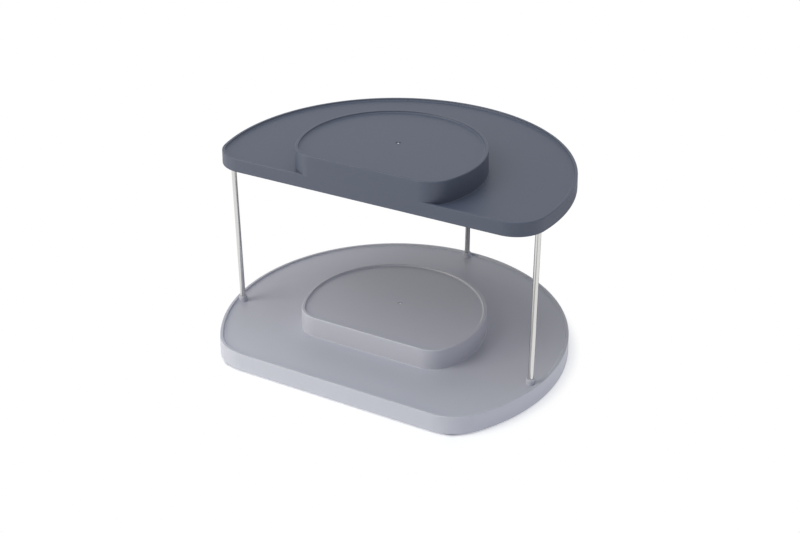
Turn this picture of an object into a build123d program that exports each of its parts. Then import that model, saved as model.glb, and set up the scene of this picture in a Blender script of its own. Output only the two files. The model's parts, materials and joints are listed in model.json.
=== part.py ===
from build123d import *

import os
from collections import namedtuple
from math import asin, atan, cos, degrees, radians, sin, tan

# A two-tier D-shaped organizer: two hollow mouldings carried on three round rods, on six soft feet.
# Millimetres, +Z up, front towards -Y. The origin is on the ground, under the middle of the lower tray.

# Lower tray: the back is one arc, the front is straight and the corners between them are round
lower_radius = 170.4
lower_reach = 118.6
lower_corner = 45.6
lower_height = 18.5

# Upper tray: the same arc drawn in a little, and cut off further back
rim_setback = 1.9
upper_reach = 58.4
upper_corner = 31.1
upper_height = 13.5
tier_pitch = 175.4

# Plateaus, sized at the level of their tray's bottom edge. Each is shifted to the front of the tray's arc.
lower_plateau_radius = 91.1
lower_plateau_reach = 55.6
lower_plateau_corner = 27.0
lower_plateau_shift = 0.4
lower_plateau_rise = 20.7
upper_plateau_radius = 89.1
upper_plateau_corner = 27.0
upper_plateau_shift = 2.9
upper_plateau_rise = 21.7

# Moulded sections that both trays share
wall = 2.5
draft_angle = 1.5
lip_width = 3.0
lip_height = 2.0
lip_slope = 1.8
lip_break = 0.8
rim_break = 0.6
root_height = 0.8
root_angle = 45

# Ribs under the decks: spokes from the plateau's wall to the rim, and low ones under each plateau
rib_thickness = 1.6
rib_setback = 2.5
back_spoke_count = 19
front_spoke_count = 13
gate_rib_depth = 5.0
gate_rib_count = 8

# Mark left by the moulding gate on each plateau, behind the centre of the plateau's own arc
gate_back = 12.6
gate_diameter = 5.2
gate_depth = 0.5
gate_nub_diameter = 1.6
gate_nub_height = 0.4

# Rods, the collars that they stand in and the blind sockets under the upper tray.
# A collar stands at the foot of the lip and bites into its slope a little.
post_diameter = 5.2
post_front_gap = 27.9
socket_clearance = 0.05
collar_diameter = 8.0
collar_rise = 6.0
collar_break = 0.6
collar_bite = 0.2
boss_setback = 1.0

# Feet: soft square pads, each on a solid boss under the lower deck
foot_side = 10.0
foot_thickness = 2.5
foot_proud = 1.0
foot_break = 0.5
foot_edge_gap = 20.4
foot_front_gap = 12.9
side_foot_spoke = 1
rear_foot_spoke = 6

# One overrun serves every cut
overrun = 1.0

# Levels
lean = tan(radians(draft_angle))
lower_bottom = foot_proud
lower_deck = lower_bottom + lower_height - lip_height
upper_bottom = lower_bottom + tier_pitch
upper_deck = upper_bottom + upper_height - lip_height
collar_top = lower_deck + collar_rise
post_foot = lower_bottom + boss_setback + wall
post_head = upper_deck - wall

# Radii and angles about the centre of the trays' arcs
centre_y = (lower_reach - lower_radius) / 2
lip_angle = degrees(atan(lip_slope / lip_height))
post_radius = post_diameter / 2
socket_radius = post_radius + socket_clearance
collar_radius = collar_diameter / 2
lip_foot = lower_radius - lower_height * lean - lip_width - lip_slope
post_circle = lip_foot - collar_radius + collar_bite
post_dip = degrees(asin((upper_reach - post_front_gap) / post_circle))
post_angles = {"left": 180 + post_dip, "right": -post_dip, "rear": 90}
back_step = (180 + 2 * post_dip) / (back_spoke_count - 1)
front_step = (180 - 2 * post_dip) / (front_spoke_count + 1)

# Feet stand in pairs: one pair near the front corners and two on spokes of the back
foot_circle = lower_radius - foot_edge_gap
foot_dips = {
    "front": degrees(asin((lower_reach - foot_front_gap) / foot_circle)),
    "side": post_dip - side_foot_spoke * back_step,
    "rear": post_dip - rear_foot_spoke * back_step,
}
foot_angles = {}
for pair, dip in foot_dips.items():
    foot_angles[f"{pair}_left"] = 180 + dip
    foot_angles[f"{pair}_right"] = -dip

# Outlines. The reach runs from the arc's centre to the straight front, and the shift is how far that centre
# lies in front of the trays' own. The upper plateau's front is flush with its tray's.
Outline = namedtuple("Outline", "radius reach corner shift")
lower_rim = Outline(lower_radius, lower_reach, lower_corner, 0)
lower_plateau = Outline(lower_plateau_radius, lower_plateau_reach, lower_plateau_corner, lower_plateau_shift)
upper_rim = Outline(lower_radius - rim_setback, upper_reach, upper_corner, 0)
upper_plateau_reach = upper_reach - upper_plateau_shift
upper_plateau = Outline(upper_plateau_radius, upper_plateau_reach, upper_plateau_corner, upper_plateau_shift)


def polar(distance, angle):
    """A plan position at a distance and angle from the centre of the trays' arcs."""
    return (distance * cos(radians(angle)), centre_y + distance * sin(radians(angle)))


def d_face(outline, grow=0):
    """The rounded D of one outline, grown outwards or, if grow is negative, shrunk inwards."""
    radius = outline.radius + grow
    dip = degrees(asin((outline.reach + grow) / radius))
    with BuildSketch() as shape:
        with BuildLine():
            back = CenterArc((0, centre_y - outline.shift), radius, -dip, 180 + 2 * dip)
            Line(back @ 1, back @ 0)
        make_face()
        fillet(shape.vertices(), outline.corner + grow)
    return shape.sketch


def spokes():
    """Rib footprints from the centre of the arcs to the rim. The back row ends at the two front rods."""
    back_sweep = (back_spoke_count - 1) * back_step
    front_start = 180 + post_dip + front_step
    front_sweep = (front_spoke_count - 1) * front_step
    with BuildSketch() as ribs:
        with Locations((0, centre_y)):
            with PolarLocations(0, back_spoke_count, -post_dip, back_sweep, endpoint=True):
                Rectangle(lower_radius, rib_thickness, align=(Align.MIN, Align.CENTER))
            with PolarLocations(0, front_spoke_count, front_start, front_sweep, endpoint=True):
                Rectangle(lower_radius, rib_thickness, align=(Align.MIN, Align.CENTER))
    return ribs.sketch


def dished_block(outline, bottom, height):
    """A drafted block with a lip round its top, which slopes down on the inside to a shallow dish."""
    top = bottom + height
    with BuildPart() as block:
        with BuildSketch(Plane.XY.offset(bottom)):
            add(d_face(outline))
        extrude(amount=height, taper=draft_angle)
        chamfer(block.faces().sort_by(Axis.Z)[-1].edges(), lip_break)
        with BuildSketch(Plane.XY.offset(top - lip_height)):
            add(d_face(outline, -lip_width - height * lean - lip_slope))
        extrude(amount=lip_height + overrun, taper=-lip_angle, mode=Mode.SUBTRACT)
    return block.part


def tray_body(rim, plateau, bottom, height, rise):
    """A whole moulding but for its sockets: tray, plateau, hollow underside, ribs and the gate's mark."""
    deck = bottom + height - lip_height
    plateau_height = height - lip_height + rise
    plateau_deck = bottom + plateau_height - lip_height
    gate = (0, centre_y - plateau.shift + gate_back)
    with BuildPart() as body:
        # Two dished blocks on one bottom edge, and the small slope at the foot of the plateau
        add(dished_block(rim, bottom, height))
        add(dished_block(plateau, bottom, plateau_height))
        with BuildSketch(Plane.XY.offset(deck)):
            add(d_face(plateau, root_height - (height - lip_height) * lean))
            add(d_face(rim, -lip_width), mode=Mode.INTERSECT)
        extrude(amount=root_height, taper=root_angle)
        chamfer(body.faces().sort_by(Axis.Z)[0].outer_wire().edges(), rim_break)

        # The hollow under the deck, with the plateau's wall carried down through it as a ring
        with BuildSketch(Plane.XY.offset(bottom)):
            add(d_face(rim, -wall))
        extrude(amount=height - lip_height - wall, taper=draft_angle, mode=Mode.SUBTRACT)
        with BuildSketch(Plane.XY.offset(bottom + rib_setback)):
            add(d_face(plateau, rib_thickness - wall - rib_setback * lean))
            add(spokes())
            add(d_face(rim, -wall / 2), mode=Mode.INTERSECT)
        extrude(amount=height - lip_height - wall / 2 - rib_setback)

        # The hollow under the plateau, with low ribs that meet under the gate
        with BuildSketch(Plane.XY.offset(bottom)):
            add(d_face(plateau, -wall))
        extrude(amount=plateau_height - lip_height - wall, taper=draft_angle, mode=Mode.SUBTRACT)
        with BuildSketch(Plane.XY.offset(plateau_deck - wall - gate_rib_depth)):
            with Locations(gate):
                with PolarLocations(0, gate_rib_count):
                    Rectangle(lower_radius, rib_thickness, align=(Align.MIN, Align.CENTER))
            add(d_face(plateau, -wall / 2 - plateau_height * lean), mode=Mode.INTERSECT)
        extrude(amount=gate_rib_depth + wall / 2)

        # The gate's mark: a sunk ring round a nub
        with BuildSketch(Plane.XY.offset(plateau_deck - gate_depth)):
            with Locations(gate):
                Circle(gate_diameter / 2)
        extrude(amount=gate_depth + overrun, mode=Mode.SUBTRACT)
        with BuildSketch(Plane.XY.offset(plateau_deck - gate_depth)):
            with Locations(gate):
                Circle(gate_nub_diameter / 2)
        extrude(amount=gate_nub_height)
    return body.part


def rounds_at(distance, angles, radius):
    """Circles of one radius at a list of angles on one pitch circle."""
    with BuildSketch() as rounds:
        with Locations(*[polar(distance, angle) for angle in angles]):
            Circle(radius)
    return rounds.sketch


def squares_at(distance, angles, side):
    """Squares at a list of angles on one pitch circle, each turned to face the centre of the arcs."""
    with BuildSketch() as squares:
        for angle in angles:
            with Locations(Location((*polar(distance, angle), 0), (0, 0, angle))):
                Rectangle(side, side)
    return squares.sketch


os.makedirs("parts", exist_ok=True)

# Lower tray: collars stand up from the deck, and the feet's bosses hang under it
with BuildPart() as lower_tray:
    add(tray_body(lower_rim, lower_plateau, lower_bottom, lower_height, lower_plateau_rise))
    with BuildSketch(Plane.XY.offset(lower_bottom + boss_setback)):
        add(rounds_at(post_circle, post_angles.values(), collar_radius))
    extrude(amount=collar_top - lower_bottom - boss_setback)
    chamfer(lower_tray.faces(Select.LAST).sort_by(Axis.Z)[-len(post_angles) :].edges(), collar_break)
    with BuildSketch(Plane.XY.offset(post_foot)):
        add(rounds_at(post_circle, post_angles.values(), socket_radius))
    extrude(amount=collar_top - post_foot + overrun, mode=Mode.SUBTRACT)
    with BuildSketch(Plane.XY.offset(foot_thickness)):
        add(squares_at(foot_circle, foot_angles.values(), foot_side))
    extrude(amount=lower_deck - wall / 2 - foot_thickness)
lower_tray.part.label = "lower_tray"
export_step(lower_tray.part, "parts/lower_tray.step")

# Upper tray: three blind sockets in bosses, set back from its bottom edge
with BuildPart() as upper_tray:
    add(tray_body(upper_rim, upper_plateau, upper_bottom, upper_height, upper_plateau_rise))
    with BuildSketch(Plane.XY.offset(upper_bottom + boss_setback)):
        add(rounds_at(post_circle, post_angles.values(), collar_radius))
    extrude(amount=upper_deck - wall / 2 - upper_bottom - boss_setback)
    with BuildSketch(Plane.XY.offset(upper_bottom)):
        add(rounds_at(post_circle, post_angles.values(), socket_radius))
    extrude(amount=post_head - upper_bottom, mode=Mode.SUBTRACT)
upper_tray.part.label = "upper_tray"
export_step(upper_tray.part, "parts/upper_tray.step")

# Rods: each stands on the floor of its collar and carries the roof of its socket
for place, angle in post_angles.items():
    with BuildPart() as post:
        with BuildSketch(Plane.XY.offset(post_foot)):
            add(rounds_at(post_circle, [angle], post_radius))
        extrude(amount=post_head - post_foot)
    post.part.label = f"post_{place}"
    export_step(post.part, f"parts/post_{place}.step")

# Feet: each is stuck to its boss and stands proud of the tray's bottom edge
for place, angle in foot_angles.items():
    with BuildPart() as foot:
        with BuildSketch():
            add(squares_at(foot_circle, [angle], foot_side))
        extrude(amount=foot_thickness)
        chamfer(foot.faces().sort_by(Axis.Z)[0].edges(), foot_break)
    foot.part.label = f"foot_{place}"
    export_step(foot.part, f"parts/foot_{place}.step")
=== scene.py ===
# %% [markdown]
# # A two-tier countertop organizer
# Two hollow plastic trays stand one over the other on three thin steel rods. Each tray is a wide D with a
# low lip, and a smaller, higher D stands in its middle. The CAD model gives every size and place, so this
# script opens it first, and then gives each piece the skin, the roundings and the light that the eye
# expects.

import json
from collections import namedtuple
from math import asin, cos, degrees, radians, sin, tan

import bpy
from mathutils import Matrix, Vector

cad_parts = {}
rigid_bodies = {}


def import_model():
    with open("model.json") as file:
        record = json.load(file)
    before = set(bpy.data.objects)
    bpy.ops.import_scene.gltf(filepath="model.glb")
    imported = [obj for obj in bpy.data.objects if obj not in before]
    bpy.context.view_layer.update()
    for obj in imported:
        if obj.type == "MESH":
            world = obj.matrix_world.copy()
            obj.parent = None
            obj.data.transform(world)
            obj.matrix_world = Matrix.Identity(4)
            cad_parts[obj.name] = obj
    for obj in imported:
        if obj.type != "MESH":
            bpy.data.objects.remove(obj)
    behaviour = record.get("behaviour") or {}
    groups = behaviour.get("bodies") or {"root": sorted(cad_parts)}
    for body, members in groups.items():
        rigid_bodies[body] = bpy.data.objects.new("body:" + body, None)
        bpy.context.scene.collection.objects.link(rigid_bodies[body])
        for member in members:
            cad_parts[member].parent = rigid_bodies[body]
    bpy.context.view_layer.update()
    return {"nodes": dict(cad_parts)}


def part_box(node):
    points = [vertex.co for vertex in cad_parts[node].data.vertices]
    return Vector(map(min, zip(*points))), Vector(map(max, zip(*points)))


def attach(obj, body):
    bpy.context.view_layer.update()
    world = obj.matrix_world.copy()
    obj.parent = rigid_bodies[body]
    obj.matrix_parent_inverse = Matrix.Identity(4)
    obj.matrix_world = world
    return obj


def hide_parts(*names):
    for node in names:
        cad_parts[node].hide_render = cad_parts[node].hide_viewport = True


MM = 0.001
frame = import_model()
nodes = frame["nodes"]
print("nodes", sorted(nodes))

# %% [markdown]
# ## Camera
# The photograph was taken from a little above, from the front and right. The camera could be set by eye, but
# its place, aim and small tilt were worked out from the trays' outlines and the rods, so the picture lies on
# the photograph. It is placed by its direction from the object, as the sheets of painted reflection and the
# lamps are further on.

# %% Camera
SENSOR = 36.0
FOCAL = 57.918
CAMERA_AZIMUTH = 28.906
CAMERA_HEIGHT = 28.775
CAMERA_ROLL = -0.2445
CAMERA_DISTANCE = 1231.76
CAMERA_TARGET = Vector((5.03, -23.13, 83.23))


def direction(azimuth, height):
    """From the object outwards, by angles. Azimuth 0 is straight in front, and positive is to the right."""
    turn, rise = radians(azimuth), radians(height)
    return Vector((sin(turn) * cos(rise), -cos(turn) * cos(rise), sin(rise)))


def aim_camera():
    """Make the camera and turn it to its target."""
    data = bpy.data.cameras.new("camera")
    data.sensor_width = SENSOR
    data.lens = FOCAL
    camera = bpy.data.objects.new("camera", data)
    bpy.context.scene.collection.objects.link(camera)
    back = direction(CAMERA_AZIMUTH, CAMERA_HEIGHT)
    place = Matrix.Translation((CAMERA_TARGET + back * CAMERA_DISTANCE) * MM)
    level = back.to_track_quat("Z", "Y").to_matrix().to_4x4()
    camera.rotation_mode = "QUATERNION"
    camera.matrix_world = place @ level @ Matrix.Rotation(radians(CAMERA_ROLL), 4, "Z")
    bpy.context.scene.camera = camera
    return camera


camera = aim_camera()
print("camera at", [round(v, 3) for v in camera.matrix_world.translation])

# %% [markdown]
# ## How the mouldings are shaped
# A moulded tray has the same section all the way round its rim: a small rounding at the foot, a wall that
# leans in a little so that it leaves the mould, a soft top edge, a flat lip and a hollow sweep down to
# the deck. It could be a block with its edges bevelled, but the sweep inside the lip isn't a plain
# rounding. So the section is drawn once, point by point, and carried round the outline with the spin
# tool, as a moulder would sweep it.

# %% Draw a section
def deselect():
    """Leave nothing selected, because an operator acts on all that is."""
    for other in bpy.context.scene.objects:
        other.select_set(False)


def arc(inwards, height, radius, start, end, steps):
    """Points of a round stretch of a section, its angles measured from straight inwards up."""
    angles = [radians(start + (end - start) * i / steps) for i in range(steps + 1)]
    return [(inwards + radius * cos(a), height + radius * sin(a)) for a in angles]


def draw_section(name, points):
    """Start from a small triangle, shrink it to one point and extrude that from point to point."""
    deselect()
    bpy.ops.mesh.primitive_circle_add(vertices=3, radius=MM, location=points[0] * MM)
    piece = bpy.context.object
    piece.name = name
    bpy.ops.object.transform_apply()
    bpy.ops.object.mode_set(mode="EDIT")
    bpy.ops.mesh.select_mode(type="VERT")
    bpy.ops.mesh.select_all(action="SELECT")
    bpy.ops.mesh.merge(type="CENTER")
    for here, there in zip(points, points[1:]):
        bpy.ops.mesh.extrude_region_move(TRANSFORM_OT_translate={"value": (there - here) * MM})
    bpy.ops.mesh.select_all(action="SELECT")
    return piece


corner_points = arc(0, 0, 1, start=0, end=90, steps=3)
print("a corner of radius 1 in three steps", [[round(v, 2) for v in point] for point in corner_points])

# %% [markdown]
# ### Carry a section round a D
# The outline of a tray is one wide arc round the back, a smaller arc at each front corner and a straight
# front. Each arc is one spin, and the straight front is one extrusion. Finer steps would look no
# smoother, because the shading hides them, and the steps of the corners are wider, because their radius
# is smaller.

# %% Carry a section round a D
BACK_STEP = 2.0
CORNER_STEP = 3.0
WELD = 0.002

# The radius of a D's back, the reach from its centre to its front, its corners' radius and its centre's
# y.
Outline = namedtuple("Outline", "radius reach corner centre")


def spin_by(angle, step, centre):
    """Carry what is selected round a vertical axis. The tool's positive turn is clockwise from above."""
    steps = max(1, round(abs(angle) / step))
    bpy.ops.mesh.spin(steps=steps, angle=-radians(angle), center=centre * MM, axis=(0, 0, 1))


def close_up():
    """Weld the seam, cap what is open, turn the faces outwards and leave edit mode."""
    bpy.ops.mesh.select_all(action="SELECT")
    bpy.ops.mesh.remove_doubles(threshold=WELD * MM)
    bpy.ops.mesh.fill_holes(sides=0)
    bpy.ops.mesh.select_all(action="SELECT")
    bpy.ops.mesh.normals_make_consistent(inside=False)
    bpy.ops.object.mode_set(mode="OBJECT")


def sweep_round(name, outline, section):
    """Carry a section, given as (inwards, height) points, round the rounded D of an outline."""
    lean_in = asin((outline.reach - outline.corner) / (outline.radius - outline.corner))
    corner_x = (outline.radius - outline.corner) * cos(lean_in)
    front = outline.centre - outline.reach
    corner_y = front + outline.corner
    piece = draw_section(name, [Vector((corner_x, front + inwards, height)) for inwards, height in section])
    turn = 90 - degrees(lean_in)
    spin_by(turn, CORNER_STEP, Vector((corner_x, corner_y, 0)))
    spin_by(360 - 2 * turn, BACK_STEP, Vector((0, outline.centre, 0)))
    spin_by(turn, CORNER_STEP, Vector((-corner_x, corner_y, 0)))
    bpy.ops.mesh.extrude_region_move(TRANSFORM_OT_translate={"value": (2 * corner_x * MM, 0, 0)})
    close_up()
    return piece


print("steps of", BACK_STEP, "degrees round the back and", CORNER_STEP, "round the corners")

# %% [markdown]
# ## The sizes of the mouldings
# They are the CAD model's own, in millimetres. The boxes of the CAD trays give the levels of their bottom
# and top edges, and each tray's own height gives the level of its deck.

# %% Sizes that both mouldings share
DRAFT_ANGLE = 1.5
LEAN = tan(radians(DRAFT_ANGLE))
LIP_WIDTH = 3.0
LIP_HEIGHT = 2.0

# Each rounding has a radius, and the number of flats that draw it.
FOOT_ROUND, FOOT_FLATS = 0.7, 5
TOP_ROUND, TOP_FLATS = 1.0, 8
LIP_EDGE, LIP_EDGE_FLATS = 0.25, 3
COVE, COVE_FLATS = 1.8, 8
ROOT, ROOT_FLATS = 0.4, 6

# The core lies this far inside the skin. Solids that join overlap, and faces that would coincide stand
# clear.
CORE = 1.2
OVERLAP = 0.8
CLEAR = 0.01
print("the walls lean in by", round(LEAN, 4), "mm for each mm of height")

# %% Sizes of each moulding
LOWER_RADIUS, LOWER_REACH, LOWER_CORNER, LOWER_HEIGHT = 170.4, 118.6, 45.6, 18.5
UPPER_RADIUS, UPPER_REACH, UPPER_CORNER, UPPER_HEIGHT = 168.5, 58.4, 31.1, 13.5
LOWER_STEP_RADIUS, LOWER_STEP_REACH, LOWER_STEP_SHIFT = 91.1, 55.6, 0.4
UPPER_STEP_RADIUS, UPPER_STEP_SHIFT = 89.1, 2.9
STEP_CORNER = 27.0

# The outlines of a tray and of its step, and the levels of its bottom edge, its deck and its step's lip.
Tray = namedtuple("Tray", "rim step bottom deck top")

centre_y = (LOWER_REACH - LOWER_RADIUS) / 2
lower_bottom, lower_top = [corner.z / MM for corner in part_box("lower_tray")]
upper_bottom, upper_top = [corner.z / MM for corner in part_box("upper_tray")]
lower = Tray(
    rim=Outline(LOWER_RADIUS, LOWER_REACH, LOWER_CORNER, centre_y),
    step=Outline(LOWER_STEP_RADIUS, LOWER_STEP_REACH, STEP_CORNER, centre_y - LOWER_STEP_SHIFT),
    bottom=lower_bottom,
    deck=lower_bottom + LOWER_HEIGHT - LIP_HEIGHT,
    top=lower_top,
)
upper = Tray(
    rim=Outline(UPPER_RADIUS, UPPER_REACH, UPPER_CORNER, centre_y),
    step=Outline(UPPER_STEP_RADIUS, UPPER_REACH - UPPER_STEP_SHIFT, STEP_CORNER, centre_y - UPPER_STEP_SHIFT),
    bottom=upper_bottom,
    deck=upper_bottom + UPPER_HEIGHT - LIP_HEIGHT,
    top=upper_top,
)
for tray in (lower, upper):
    print("bottom, deck and top in mm", [round(level, 2) for level in (tray.bottom, tray.deck, tray.top)])

# %% [markdown]
# ## The outer skins
# The rim and the raised step of a tray have the same edge, so one function draws both sections. The rim's
# starts with the rounding at its foot, and the step's starts plain, because it is buried in the deck. The
# step could be pushed into the rim and left there, but a boolean union gives one closed skin with no
# walls inside it.

# %% Sections
def edge_section(bottom, foot, top, rounded_foot):
    """The section from its foot up the leaning wall, over the lip and down to the deck inside it."""
    lip_start = (top - bottom) * LEAN
    cove_centre = lip_start + LIP_WIDTH + COVE
    wall_foot = (foot - bottom) * LEAN
    if rounded_foot:
        points = arc(wall_foot + FOOT_ROUND, foot + FOOT_ROUND, FOOT_ROUND, 270, 180, FOOT_FLATS)
    else:
        points = [(wall_foot, foot)]
    points += arc(lip_start + TOP_ROUND, top - TOP_ROUND, TOP_ROUND, 180, 90, TOP_FLATS)
    points += arc(cove_centre - COVE - LIP_EDGE, top - LIP_EDGE, LIP_EDGE, 90, 0, LIP_EDGE_FLATS)
    points += arc(cove_centre, top - LIP_HEIGHT + COVE, COVE, 180, 270, COVE_FLATS)
    return points


def root_section(deck, bottom):
    """A prism with a hollow sweep round its top edge, which blends the step's wall into the deck."""
    wall = (deck - bottom) * LEAN
    sweep = arc(wall - ROOT, deck + ROOT, ROOT, 270, 360, ROOT_FLATS)
    return [(wall - ROOT, deck - OVERLAP)] + sweep + [(wall + ROOT, deck + ROOT)]


rim_points = edge_section(lower.bottom, lower.bottom, lower.deck + LIP_HEIGHT, rounded_foot=True)
print("points in a rim's section", len(rim_points), "from", [round(v, 2) for v in rim_points[0]])

# %% Skins
def activate(piece):
    """Make one object the only selected one."""
    deselect()
    piece.select_set(True)
    bpy.context.view_layer.objects.active = piece


def combine(piece, other, operation):
    """Add or cut one solid with another, and throw the other away."""
    activate(piece)
    modifier = piece.modifiers.new("combine", "BOOLEAN")
    modifier.operation = operation
    modifier.solver = "EXACT"
    modifier.object = other
    bpy.ops.object.modifier_apply(modifier=modifier.name)
    bpy.data.objects.remove(other)
    return piece


def skin(name, tray, flush):
    """The smooth outside of a moulding. A flush step shares the tray's front wall, down to its foot."""
    rim, step, bottom, deck, top = tray
    shell = sweep_round(name, rim, edge_section(bottom, bottom, deck + LIP_HEIGHT, rounded_foot=True))
    root = sweep_round("root", step, root_section(deck, bottom))
    if flush:
        # The sweep at the step's foot ends behind the front lip, and leaves the front wall plain.
        activate(root)
        bpy.ops.object.mode_set(mode="EDIT")
        bpy.ops.mesh.select_all(action="SELECT")
        edge = (0, (rim.centre - rim.reach + LIP_WIDTH) * MM, 0)
        bpy.ops.mesh.bisect(plane_co=edge, plane_no=(0, 1, 0), use_fill=True, clear_inner=True)
        bpy.ops.object.mode_set(mode="OBJECT")
        block = edge_section(bottom, bottom + FOOT_ROUND + CLEAR, top, rounded_foot=False)
        step = step._replace(reach=step.reach + CLEAR)
    else:
        block = edge_section(bottom, deck - OVERLAP, top, rounded_foot=False)
    combine(shell, sweep_round("step", step, block), "UNION")
    combine(shell, root, "UNION")
    return shell


lower_skin = skin("lower_moulding", lower, flush=False)
upper_skin = skin("upper_moulding", upper, flush=True)
for shell in (lower_skin, upper_skin):
    print(shell.name, len(shell.data.vertices), "points", len(shell.data.polygons), "faces")

# %% [markdown]
# ## The undersides
# Turned over, each moulding is hollow, with ribs, bosses and sockets. They could all be modelled again,
# but the CAD model has them already. So a merged copy of it is trimmed to the core, which is the room
# that the skin leaves free, and the skin is hollowed by the same core.

# %% Cores
def core_section(bottom, top, inset):
    """A leaning wall a little inside the skin, which starts well below the tray."""
    return [(inset, bottom - top), (inset + (top - bottom) * LEAN, top)]


def core(tray):
    """All the room inside the skin, down to below the tray."""
    block = sweep_round("room", tray.rim, core_section(tray.bottom, tray.deck - CORE, CORE))
    step_top = tray.top - LIP_HEIGHT - CORE
    inner_step = sweep_round("step", tray.step, core_section(tray.bottom, step_top, CORE + CLEAR))
    return combine(block, inner_step, "UNION")


def copy_of(piece, name):
    """A copy with a mesh of its own."""
    twin = piece.copy()
    twin.data = piece.data.copy()
    twin.name = name
    twin.parent = None
    bpy.context.scene.collection.objects.link(twin)
    return twin


def add_underside(shell, node, tray):
    """Hollow the skin by its core, and fill that room with the CAD model's own ribs and sockets."""
    room = core(tray)
    inside = copy_of(nodes[node], "inside")
    # The copy's faces are welded at their edges, because a boolean needs a closed solid.
    activate(inside)
    bpy.ops.object.mode_set(mode="EDIT")
    bpy.ops.mesh.select_all(action="SELECT")
    bpy.ops.mesh.remove_doubles(threshold=WELD * MM)
    bpy.ops.object.mode_set(mode="OBJECT")
    combine(inside, copy_of(room, "trim"), "INTERSECT")
    combine(shell, room, "DIFFERENCE")
    combine(shell, inside, "UNION")


add_underside(lower_skin, "lower_tray", lower)
add_underside(upper_skin, "upper_tray", upper)
for shell in (lower_skin, upper_skin):
    print(shell.name, len(shell.data.vertices), "points", len(shell.data.polygons), "faces")

# %% [markdown]
# ## The gate marks
# Plastic enters each mould at one point under the middle of the step, behind its centre. It leaves a
# small sunk ring with a nub in it. The ring could be inset in the deck's face, but that face is one large
# one with no point there. So a cutter of that shape is turned on a lathe, which is a spin of a full turn,
# and taken out of the deck.

# %% Gate marks
GATE_BACK = 12.6
GATE_RADIUS = 2.6
GATE_DEPTH = 0.5
GATE_STEP = 6.0
NUB_RADIUS = 0.8
NUB_DROP = 0.1


def lathe(name, section, x, y, step):
    """Turn a section, given as (radius, height) points, round an upright axis."""
    piece = draw_section(name, [Vector((x + radius, y, height)) for radius, height in section])
    spin_by(360, step, Vector((x, y, 0)))
    close_up()
    return piece


def cut_gate(shell, tray):
    """Sink the ring and leave the nub."""
    step_deck = tray.top - LIP_HEIGHT
    above, nub_top, floor = tray.top, step_deck - NUB_DROP, step_deck - GATE_DEPTH
    section = [(0, above), (0, nub_top), (NUB_RADIUS, nub_top), (NUB_RADIUS, floor)]
    section += [(GATE_RADIUS, floor), (GATE_RADIUS, above), (0, above)]
    combine(shell, lathe("cutter", section, 0, tray.step.centre + GATE_BACK, GATE_STEP), "DIFFERENCE")


cut_gate(lower_skin, lower)
cut_gate(upper_skin, upper)
for tray in (lower, upper):
    level = tray.top - LIP_HEIGHT
    print("gate ring at y", round(tray.step.centre + GATE_BACK, 1), "mm in a deck at", round(level, 1), "mm")

# %% [markdown]
# ## Collars
# Each rod stands in a collar that is moulded with the lower tray. A collar is round, so it is turned: a
# section spun once round an upright axis. It is joined to the deck as a solid first and bored afterwards,
# because a bored ring would leave its hole's wall lying exactly on the socket's wall, which a boolean
# can't tell apart.

# %% Collars
SOCKET_PLAY = 0.05
COLLAR_RADIUS = 4.0
COLLAR_ROUND, COLLAR_FLATS = 0.7, 6
COLLAR_RISE = 6.0
MOUTH = 0.25
ROUND_STEP = 5.0


def spot_of(node):
    """The middle of a CAD node in plan, in millimetres."""
    low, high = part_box(node)
    return (low.x + high.x) / 2 / MM, (low.y + high.y) / 2 / MM


rod_nodes = [name for name in sorted(nodes) if name.startswith("post_")]
rod_low, rod_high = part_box(rod_nodes[-1])
rod_radius = round((rod_high.y - rod_low.y) / 2 / MM, 1)
bore = rod_radius + SOCKET_PLAY + 2 * CLEAR
collar_top = lower.deck + COLLAR_RISE

collar_section = [(0, lower.deck - OVERLAP), (COLLAR_RADIUS, lower.deck - OVERLAP)]
edge_radius, edge_level = COLLAR_RADIUS - COLLAR_ROUND, collar_top - COLLAR_ROUND
collar_section += arc(edge_radius, edge_level, COLLAR_ROUND, 0, 90, COLLAR_FLATS)
collar_section += [(0, collar_top)]
bore_foot = lower.deck - CORE - OVERLAP
bore_section = [(0, bore_foot), (bore, bore_foot), (bore, collar_top - MOUTH)]
bore_section += [(bore + 2 * MOUTH, collar_top + MOUTH), (0, collar_top + MOUTH)]
for node in rod_nodes:
    spot = spot_of(node)
    combine(lower_skin, lathe("collar", collar_section, *spot, ROUND_STEP), "UNION")
    combine(lower_skin, lathe("bore", bore_section, *spot, ROUND_STEP), "DIFFERENCE")
print("collars up to", round(collar_top, 1), "mm, bored to a radius of", round(bore, 2), "mm")

# %% [markdown]
# ## Smooth shading
# A rounding made of flats has to be shaded as one curve, and a flat beside it has to stay flat. Blender
# can split the shading where faces meet at an angle, but the booleans leave long thin faces that pull the
# shading askew. So each corner's direction is worked out here, and the largest faces round it have the
# most say.

# %% Smooth shading
FLAT_ANGLE = 30


def smooth(piece, angle):
    """Shade as one curve the faces round a point that turn from each other by less than the angle."""
    activate(piece)
    bpy.ops.object.shade_smooth()
    mesh = piece.data
    around = [[] for _ in mesh.vertices]
    for face in mesh.polygons:
        if face.area > 0:
            for i in face.vertices:
                around[i].append((face.normal, face.area**2))
    limit = cos(radians(angle))
    directions = []
    for face in mesh.polygons:
        for i in face.vertices:
            total = face.normal * face.area**2
            for normal, weight in around[i]:
                if normal.dot(face.normal) > limit:
                    total = total + normal * weight
            directions.append(total.normalized() if total.length > 0 else face.normal)
    mesh.normals_split_custom_set(directions)


print("faces that turn by more than", FLAT_ANGLE, "degrees keep an edge between them")

# %% [markdown]
# ## Rods
# The rods are stainless bar stock, cut to length with both ends broken so that they find their sockets.
# They could be cylinders with bevelled ends, but the same lathe that turned the collars also gives the
# ends, and each rod is turned where it stands. It is one length of plain bar, so that is its whole shape.

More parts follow.
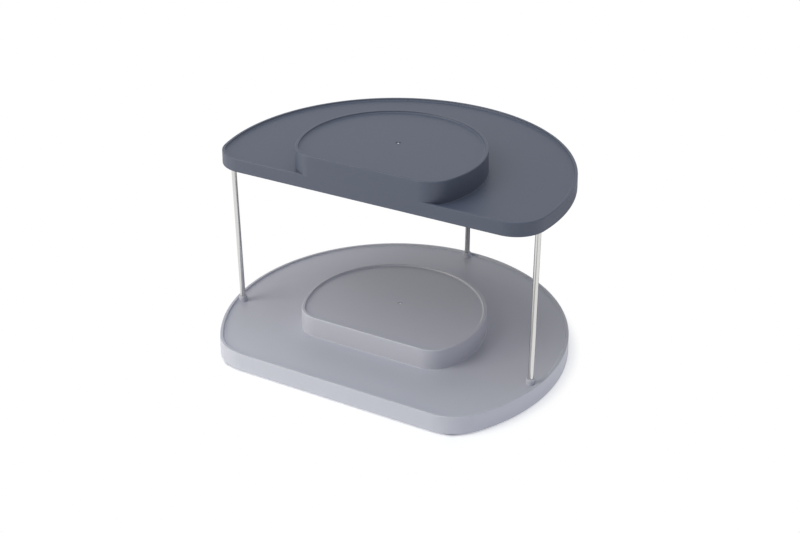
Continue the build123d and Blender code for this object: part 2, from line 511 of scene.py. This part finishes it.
# %% Rods
ROD_END = 0.4
rod_foot, rod_head = rod_low.z / MM, rod_high.z / MM
rod_section = [(0, rod_foot), (rod_radius - ROD_END, rod_foot), (rod_radius, rod_foot + ROD_END)]
rod_section += [(rod_radius, rod_head - ROD_END), (rod_radius - ROD_END, rod_head), (0, rod_head)]
rods = []
for node in rod_nodes:
    rod = lathe("rod_" + node.removeprefix("post_"), rod_section, *spot_of(node), ROUND_STEP)
    smooth(rod, FLAT_ANGLE)
    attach(rod, "base")
    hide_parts(node)
    rods.append(rod)
print("rods", [rod.name for rod in rods], "from", round(rod_foot, 1), "to", round(rod_head, 1), "mm")

# %% [markdown]
# ## Feet
# Six small rubber pads are stuck to bosses under the lower tray. Each is a square, pressed in a mould
# with soft edges. It could be swept like the trays, but a cube with its edges bevelled gives the same
# shape with less work. One pad is made, and then copied and turned to face the tray's centre. Its flats
# are few and turn far from each other, so they are shaded as one curve up to a wider angle.

# %% Feet
PAD_SIDE = 10.0
PAD_CORNER = 1.2
PAD_EDGE = 0.6
PAD_FLATS = 4
PAD_FLAT_ANGLE = 50
foot_nodes = [name for name in sorted(nodes) if name.startswith("foot_")]
pad_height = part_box(foot_nodes[0])[1].z / MM


def bevel_edges(piece, width, wanted):
    """In edit mode, round only the edges whose two ends pass a test of their heights in millimetres."""
    bpy.ops.mesh.select_all(action="DESELECT")
    bpy.ops.object.mode_set(mode="OBJECT")
    for edge in piece.data.edges:
        edge.select = wanted(*[piece.data.vertices[i].co.z / MM for i in edge.vertices])
    bpy.ops.object.mode_set(mode="EDIT")
    bpy.ops.mesh.bevel(offset=width * MM, segments=PAD_FLATS, affect="EDGES")


def make_pad():
    """One soft pad at the origin, resting on the ground."""
    deselect()
    middle = (0, 0, pad_height / 2 * MM)
    bpy.ops.mesh.primitive_cube_add(size=MM, location=middle, scale=(PAD_SIDE, PAD_SIDE, pad_height))
    pad = bpy.context.object
    bpy.ops.object.transform_apply()
    bpy.ops.object.mode_set(mode="EDIT")
    bpy.ops.mesh.select_mode(type="EDGE")
    bevel_edges(pad, PAD_CORNER, lambda start, end: abs(start - end) > pad_height / 2)
    bevel_edges(pad, PAD_EDGE, lambda start, end: max(start, end) < pad_height / 2)
    bpy.ops.object.mode_set(mode="OBJECT")
    return pad


first_pad = make_pad()
pads = []
for node in foot_nodes:
    x, y = spot_of(node)
    pad = copy_of(first_pad, node.replace("foot_", "pad_"))
    turn = Vector((1, 0)).angle_signed(Vector((x, y - centre_y)))
    pad.data.transform(Matrix.Translation(Vector((x, y, 0)) * MM) @ Matrix.Rotation(-turn, 4, "Z"))
    smooth(pad, PAD_FLAT_ANGLE)
    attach(pad, "base")
    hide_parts(node)
    pads.append(pad)
bpy.data.objects.remove(first_pad)
print("pads", [pad.name for pad in pads], "height", round(pad_height, 2))

# %% [markdown]
# ## The mouldings take their places
# Each finished moulding now stands in for its CAD node: it rides on the same body, so that it moves with
# the upper tier or stays with the base, and it is shaded smooth only after the last boolean, which
# changes its faces.

# %% The mouldings take their places
for piece, body, node, slot in (
    (lower_skin, "base", "lower_tray", "light_plastic"),
    (upper_skin, "upper_tier", "upper_tray", "dark_plastic"),
):
    smooth(piece, FLAT_ANGLE)
    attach(piece, body)
    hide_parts(node)
    print(piece.name, len(piece.data.polygons), "faces")

# %% [markdown]
# ## Materials
# A finish is more than a colour: it is how sharply the surface mirrors the room, and how its fine texture
# breaks that up. Each material below starts from what the real one is, with the size of its texture in
# millimetres. Its roughness is given as a pair, for the smoothest and the dullest spots. Colours are
# written as hex values, which are made for the screen, so one function turns them to linear light.

# %% Tools for materials
def tone(hex_colour):
    """A hex colour as linear red, green, blue and alpha, by the sRGB standard's own curve."""
    parts = [int(hex_colour[i : i + 2], 16) / 255 for i in (1, 3, 5)]
    return [v / 12.92 if v <= 0.04045 else ((v + 0.055) / 1.055) ** 2.4 for v in parts] + [1.0]


def add_node(tree, kind, settings=None, **inputs):
    """Add a node, set its properties, and give each input a value or a link from another node's socket.

    An input is called by its name, or by its number after a line where names repeat: _0 is the first.
    """
    node = tree.nodes.new(kind)
    for name, value in (settings or {}).items():
        setattr(node, name, value)
    for name, value in inputs.items():
        socket = node.inputs[int(name[1:])] if name[0] == "_" else node.inputs[name.replace("_", " ")]
        if isinstance(value, bpy.types.NodeSocket):
            tree.links.new(value, socket)
        else:
            socket.default_value = value
    return node


def new_material(name):
    """An empty node material."""
    material = bpy.data.materials.new(name)
    material.use_nodes = True
    material.node_tree.nodes.clear()
    return material, material.node_tree


def dress(pieces, material):
    """Give pieces one material."""
    for piece in pieces:
        piece.data.materials.clear()
        piece.data.materials.append(material)


print("a screen grey of #808080 is", round(tone("#808080")[0], 3), "in linear light")

# %% [markdown]
# ### Moulded plastic
# Both trays are injection-moulded ABS from a mould with a fine spark-eroded surface. Up close that is a
# grain of a few tenths of a millimetre, which scatters the light and leaves only a broad, soft sheen. A
# plain colour would look like paper, so the grain is drawn, at half a millimetre, a little coarser than
# the real one, so that it still shows. A wider, very weak mottle stands for the flow of the plastic.

# %% Plastic
ABS_IOR = 1.53
GRAIN = 0.5
GRAIN_HEIGHT = 0.03
FLOW = 45.0


def moulded_abs(name, colour, roughness, mottle):
    """Grained plastic. The lighter and darker mottle is a small share of the colour either way."""
    material, tree = new_material(name)
    place = add_node(tree, "ShaderNodeTexCoord").outputs["Object"]
    fine, wide = 1 / (GRAIN * MM), 1 / (FLOW * MM)
    grain = add_node(tree, "ShaderNodeTexNoise", Vector=place, Scale=fine, Detail=2.0, Roughness=0.6)
    flow = add_node(tree, "ShaderNodeTexNoise", Vector=place, Scale=wide, Detail=3.0, Roughness=0.5)
    base = Vector(tone(colour)[:3])
    dark, light = [list(base * share) + [1.0] for share in (1 - mottle, 1 + mottle)]
    mixed = add_node(tree, "ShaderNodeMix", {"data_type": "RGBA"}, _0=flow.outputs["Fac"], _6=dark, _7=light)
    low, high = roughness
    spread = add_node(tree, "ShaderNodeMapRange", Value=grain.outputs["Fac"], To_Min=low, To_Max=high)
    height = GRAIN_HEIGHT * MM
    bump = add_node(tree, "ShaderNodeBump", Height=grain.outputs["Fac"], Strength=0.5, Distance=height)
    shader = add_node(
        tree,
        "ShaderNodeBsdfPrincipled",
        Base_Color=mixed.outputs[2],
        Roughness=spread.outputs["Result"],
        Normal=bump.outputs["Normal"],
        IOR=ABS_IOR,
    )
    add_node(tree, "ShaderNodeOutputMaterial", Surface=shader.outputs["BSDF"])
    return material


dress([lower_skin], moulded_abs("light_grey_abs", "#babcc9", roughness=(0.37, 0.47), mottle=0.02))
dress([upper_skin], moulded_abs("slate_abs", "#484f62", roughness=(0.45, 0.55), mottle=0.03))
print("plastics", [piece.data.materials[0].name for piece in (lower_skin, upper_skin)])

# %% [markdown]
# ### The pale nubs
# The nub in each gate's mark shows as a bright spot. Its faces are given a near-white colour and a smoother
# face than the grained mould around it. The nub could be a piece of its own, but the real one is part of the
# moulding. So only its faces get this finish, as a second material on the same piece.

# %% Pale nubs
NUB_GRAIN = 0.2


def pale_abs(name, colour, roughness):
    """A near-white plastic for the gate's nub, smoother than the grain, with a faint noise in its roughness.
    """
    material, tree = new_material(name)
    place = add_node(tree, "ShaderNodeTexCoord").outputs["Object"]
    torn = add_node(tree, "ShaderNodeTexNoise", Vector=place, Scale=1 / (NUB_GRAIN * MM), Detail=1.0)
    low, high = roughness
    spread = add_node(tree, "ShaderNodeMapRange", Value=torn.outputs["Fac"], To_Min=low, To_Max=high)
    shader = add_node(
        tree,
        "ShaderNodeBsdfPrincipled",
        Base_Color=tone(colour),
        Roughness=spread.outputs["Result"],
        IOR=ABS_IOR,
    )
    add_node(tree, "ShaderNodeOutputMaterial", Surface=shader.outputs["BSDF"])
    return material


def pale_nub(piece, tray, material):
    """Give the pale finish to the faces of the nub, found by their place, and count them."""
    piece.data.materials.append(material)
    axis = Vector((0, tray.step.centre + GATE_BACK)) * MM
    floor = tray.top - LIP_HEIGHT - GATE_DEPTH
    found = 0
    for face in piece.data.polygons:
        near_axis = (face.center.xy - axis).length < (NUB_RADIUS + CLEAR) * MM
        if near_axis and face.center.z > (floor + CLEAR) * MM:
            face.material_index = 1
            found += 1
    return found


nub_finish = pale_abs("pale_nub_abs", "#f0f0f4", roughness=(0.2, 0.3))
print("nub faces in the lower tray", pale_nub(lower_skin, lower, nub_finish))
print("nub faces in the upper tray", pale_nub(upper_skin, upper, nub_finish))

# %% [markdown]
# ### Drawn steel
# The rods are stainless bar that was pulled through a die, which leaves faint lines along it, and then
# lightly polished. An even polish would look like chrome plate. So the roughness follows a noise, and
# because the lines are much longer than they are wide, the noise is stretched along the rod.

# %% Steel
LINE = 0.25
LINE_LENGTH = 60.0
LINE_DEPTH = 0.01


def drawn_steel(name, colour, roughness):
    """Polished bar with fine lines along it."""
    material, tree = new_material(name)
    place = add_node(tree, "ShaderNodeTexCoord").outputs["Object"]
    stretch = (1, 1, LINE / LINE_LENGTH)
    along = add_node(tree, "ShaderNodeMapping", Vector=place, Scale=stretch).outputs["Vector"]
    lines = add_node(tree, "ShaderNodeTexNoise", Vector=along, Scale=1 / (LINE * MM), Detail=1.0)
    low, high = roughness
    spread = add_node(tree, "ShaderNodeMapRange", Value=lines.outputs["Fac"], To_Min=low, To_Max=high)
    depth = LINE_DEPTH * MM
    bump = add_node(tree, "ShaderNodeBump", Height=lines.outputs["Fac"], Strength=0.25, Distance=depth)
    shader = add_node(
        tree,
        "ShaderNodeBsdfPrincipled",
        Base_Color=tone(colour),
        Metallic=1.0,
        Roughness=spread.outputs["Result"],
        Normal=bump.outputs["Normal"],
    )
    add_node(tree, "ShaderNodeOutputMaterial", Surface=shader.outputs["BSDF"])
    return material


dress(rods, drawn_steel("drawn_stainless", "#d8d8d7", roughness=(0.09, 0.2)))
print("steel lines", LINE, "mm apart and", LINE_LENGTH, "mm long")

# %% [markdown]
# ### Rubber
# The pads are dark thermoplastic rubber: dull, with a fine pitted skin that catches almost no highlight.
# They are hardly seen, so a dark colour would do from the front, but the pits show when the stand is
# turned over.

# %% Rubber
PIT = 0.4
PIT_DEPTH = 0.05


def soft_rubber(name, colour, roughness):
    """Dull, finely pitted rubber."""
    material, tree = new_material(name)
    place = add_node(tree, "ShaderNodeTexCoord").outputs["Object"]
    pits = add_node(tree, "ShaderNodeTexNoise", Vector=place, Scale=1 / (PIT * MM), Detail=2.0)
    low, high = roughness
    spread = add_node(tree, "ShaderNodeMapRange", Value=pits.outputs["Fac"], To_Min=low, To_Max=high)
    depth = PIT_DEPTH * MM
    bump = add_node(tree, "ShaderNodeBump", Height=pits.outputs["Fac"], Strength=0.4, Distance=depth)
    shader = add_node(
        tree,
        "ShaderNodeBsdfPrincipled",
        Base_Color=tone(colour),
        Roughness=spread.outputs["Result"],
        Normal=bump.outputs["Normal"],
    )
    add_node(tree, "ShaderNodeOutputMaterial", Surface=shader.outputs["BSDF"])
    return material


dress(pads, soft_rubber("soft_rubber", "#2b2b2d", roughness=(0.75, 0.9)))
print("rubber pits", PIT, "mm apart")

# %% [markdown]
# ## Floor, background and light
# The photograph has a plain white ground. The floor is a sheet of cool white acrylic that takes the object's
# shadow. It also glows, and this is painted light from below: none where the tray covers it, and more on the
# right, standing in for the light that a brightly lit floor throws back. What the camera and the steel see of
# it is lifted to white a few millimetres out from the tray's edge, so that only the shadow close to the tray
# is left. More light would also turn it white, but would wash out the object with it.

# %% Sheet
# The sheet's glow is painted light from below, stronger on the right, though the sheet is no lamp.
GLOW = 0.28
GLOW_RIGHT = 0.52
GLOW_START = 120.0
GLOW_END = 240.0
GLOW_FADE = 6.0
LIFT_START = -4.0
LIFT_END = 14.0


def seen_directly(tree):
    """1 for what the camera or a shiny surface sees, and 0 for light that falls on the object."""
    path = add_node(tree, "ShaderNodeLightPath").outputs
    by_camera, in_mirror = path["Is Camera Ray"], path["Is Glossy Ray"]
    return add_node(tree, "ShaderNodeMath", {"operation": "MAXIMUM"}, _0=by_camera, _1=in_mirror).outputs[0]


def past_the_tray(tree, place):
    """How far a spot of the floor lies out from the lower tray's edge, and less than 0 under the tray."""
    distance, minus, larger = [{"operation": name} for name in ("DISTANCE", "SUBTRACT", "MAXIMUM")]
    centre = (0, centre_y * MM, 0)
    away = add_node(tree, "ShaderNodeVectorMath", distance, _0=place, _1=centre).outputs["Value"]
    past_back = add_node(tree, "ShaderNodeMath", minus, _0=away, _1=LOWER_RADIUS * MM).outputs[0]
    front = (centre_y - LOWER_REACH) * MM
    depth = add_node(tree, "ShaderNodeSeparateXYZ", Vector=place).outputs[1]
    past_front = add_node(tree, "ShaderNodeMath", minus, _0=front, _1=depth).outputs[0]
    return add_node(tree, "ShaderNodeMath", larger, _0=past_back, _1=past_front).outputs[0]


def acrylic_sheet(name, colour, glow_colour):
    """A matt white sheet that glows a little with painted light, and is seen as plain white away from the
    tray.
    """
    material, tree = new_material(name)
    place = add_node(tree, "ShaderNodeTexCoord").outputs["Object"]
    across = add_node(tree, "ShaderNodeSeparateXYZ", Vector=place).outputs[0]
    past_edge = past_the_tray(tree, place)
    # Three soft ramps: the share that is lifted, the share that the tray leaves uncovered, and the painted
    # glow.
    share, uncovered, glow = [
        add_node(
            tree,
            "ShaderNodeMapRange",
            {"interpolation_type": "SMOOTHSTEP"},
            Value=distance,
            From_Min=start * MM,
            From_Max=end * MM,
            To_Min=low,
            To_Max=high,
        ).outputs["Result"]
        for distance, start, end, low, high in (
            (past_edge, LIFT_START, LIFT_END, 0, 1),
            (past_edge, -GLOW_FADE, 0, 0, 1),
            (across, GLOW_START, GLOW_END, GLOW, GLOW_RIGHT),
        )
    ]
    times = {"operation": "MULTIPLY"}
    strength = add_node(tree, "ShaderNodeMath", times, _0=uncovered, _1=glow).outputs[0]
    lift = add_node(tree, "ShaderNodeMath", times, _0=seen_directly(tree), _1=share).outputs[0]
    board = add_node(tree, "ShaderNodeBsdfDiffuse", Color=tone(colour)).outputs["BSDF"]
    # Painted light: the sheet glows and lights the object from below.
    painted_glow = add_node(tree, "ShaderNodeEmission", Color=tone(glow_colour), Strength=strength).outputs[0]
    sheet = add_node(tree, "ShaderNodeAddShader", _0=board, _1=painted_glow).outputs["Shader"]
    white = add_node(tree, "ShaderNodeEmission", Color=tone("#ffffff"), Strength=1.0).outputs[0]
    mixed = add_node(tree, "ShaderNodeMixShader", _0=lift, _1=sheet, _2=white)
    add_node(tree, "ShaderNodeOutputMaterial", Surface=mixed.outputs["Shader"])
    return material


sheet_finish = acrylic_sheet("white_sheet_with_painted_glow", "#f2f5fb", "#fdfbfb")
print("the sheet glows at", GLOW, "and at", GLOW_RIGHT, "on the right")

# %% Floor
FLOOR_SIDE = 12000.0


def lay_floor(material):
    """A pale sheet under the object."""
    deselect()
    bpy.ops.mesh.primitive_plane_add(size=FLOOR_SIDE * MM)
    floor = bpy.context.object
    floor.name = "floor"
    dress([floor], material)


lay_floor(sheet_finish)
print("floor", FLOOR_SIDE, "mm wide")

# %% [markdown]
# ### Painted reflections for the steel
# A polished rod in an all-white room looks like a white stripe. So two sheets that shine with a fixed colour
# of their own lie on the floor out of the picture. Neither the camera nor the light sees them, only shiny
# surfaces, so what they give the rods is painted reflection. The camera looks down on the upright rods, so
# they mirror the ground. A dark sheet behind on the right paints their dark edges, and a pale grey one in
# front paints a soft band down their middles.

# %% Painted reflections
CARD_LEVEL = 0.4


def lay_reflection_sheet(name, azimuth, near, far, width, colour):
    """A flat sheet on the floor that shines with a fixed colour and that only shiny surfaces see, a painted
    reflection, laid from its near to its far distance.
    """
    deselect()
    bpy.ops.mesh.primitive_plane_add(size=1)
    reflector = bpy.context.object
    reflector.name = name
    middle = direction(azimuth, 0) * (near + far) / 2 + Vector((0, centre_y, CARD_LEVEL))
    place = Matrix.Translation(middle * MM) @ Matrix.Rotation(radians(azimuth), 4, "Z")
    reflector.data.transform(place @ Matrix.Diagonal((width * MM, (far - near) * MM, 1, 1)))
    reflector.visible_camera = reflector.visible_diffuse = reflector.visible_shadow = False
    material, tree = new_material(name + "_emission")
    # Painted reflection: the sheet's colour shines at strength 1, whatever the lamps do.
    board = add_node(tree, "ShaderNodeEmission", Color=tone(colour), Strength=1.0)
    add_node(tree, "ShaderNodeOutputMaterial", Surface=board.outputs["Emission"])
    dress([reflector], material)
    return reflector


painted_reflectors = [
    lay_reflection_sheet("painted_dark_reflection", azimuth=150, near=175, far=520, width=260, colour="#43413c"),
    lay_reflection_sheet("painted_pale_reflection", azimuth=35, near=175, far=620, width=150, colour="#c2c0bb"),
]
print("painted_reflectors", [reflector.name for reflector in painted_reflectors])

# %% [markdown]
# ### Background
# Beyond the sheet there is only white. It could be a large wall, but the world needs no model. It has its
# full strength where it is seen, and less than half of that where it lights the object, so that the lamps
# do the shaping.

# %% Background
AMBIENT = 0.41


def hang_background():
    """White where it is seen, and a weaker even light on the object."""
    world = bpy.data.worlds.new("studio")
    world.use_nodes = True
    world.node_tree.nodes.clear()
    tree = world.node_tree
    strength = add_node(tree, "ShaderNodeMapRange", Value=seen_directly(tree), To_Min=AMBIENT, To_Max=1.0)
    light = add_node(tree, "ShaderNodeBackground", Color=tone("#ffffff"), Strength=strength.outputs["Result"])
    add_node(tree, "ShaderNodeOutputWorld", Surface=light.outputs["Background"])
    bpy.context.scene.world = world


hang_background()
print("ambient light", AMBIENT)

# %% [markdown]
# ### Lamps
# The shading tells where the lamps stood. The front walls are the lightest and the walls that face right the
# darkest, so the key is low on the left, and a second lamp stands high above it. A third hangs straight over
# the decks and lights them evenly. None is on the right, where only the white room and the painted glow of
# the sheet give light. All are softboxes of one size, because every shadow is soft.

# %% Lamps
LAMP_AIM = Vector((0, -25, 80))
LAMP_SIDE = 700.0
LAMP_DISTANCE = 1500.0


def softbox(name, azimuth, height, power, colour):
    """A square lamp that faces the object, with its power in watts."""
    data = bpy.data.lights.new(name, "AREA")
    data.size = LAMP_SIDE * MM
    data.energy = power
    data.color = tone(colour)[:3]
    lamp = bpy.data.objects.new(name, data)
    bpy.context.scene.collection.objects.link(lamp)
    out = direction(azimuth, height)
    lamp.location = (LAMP_AIM + out * LAMP_DISTANCE) * MM
    lamp.rotation_mode = "QUATERNION"
    lamp.rotation_quaternion = out.to_track_quat("Z", "Y")


softbox("key", azimuth=-45, height=12, power=8.5, colour="#fffae0")
softbox("upper", azimuth=-45, height=50, power=5.4, colour="#fffafb")
softbox("top", azimuth=0, height=89, power=4.3, colour="#e8fbf8")
print("lamps", [light.name for light in bpy.data.lights])

# %% View transform
bpy.context.scene.view_settings.view_transform = "Standard"
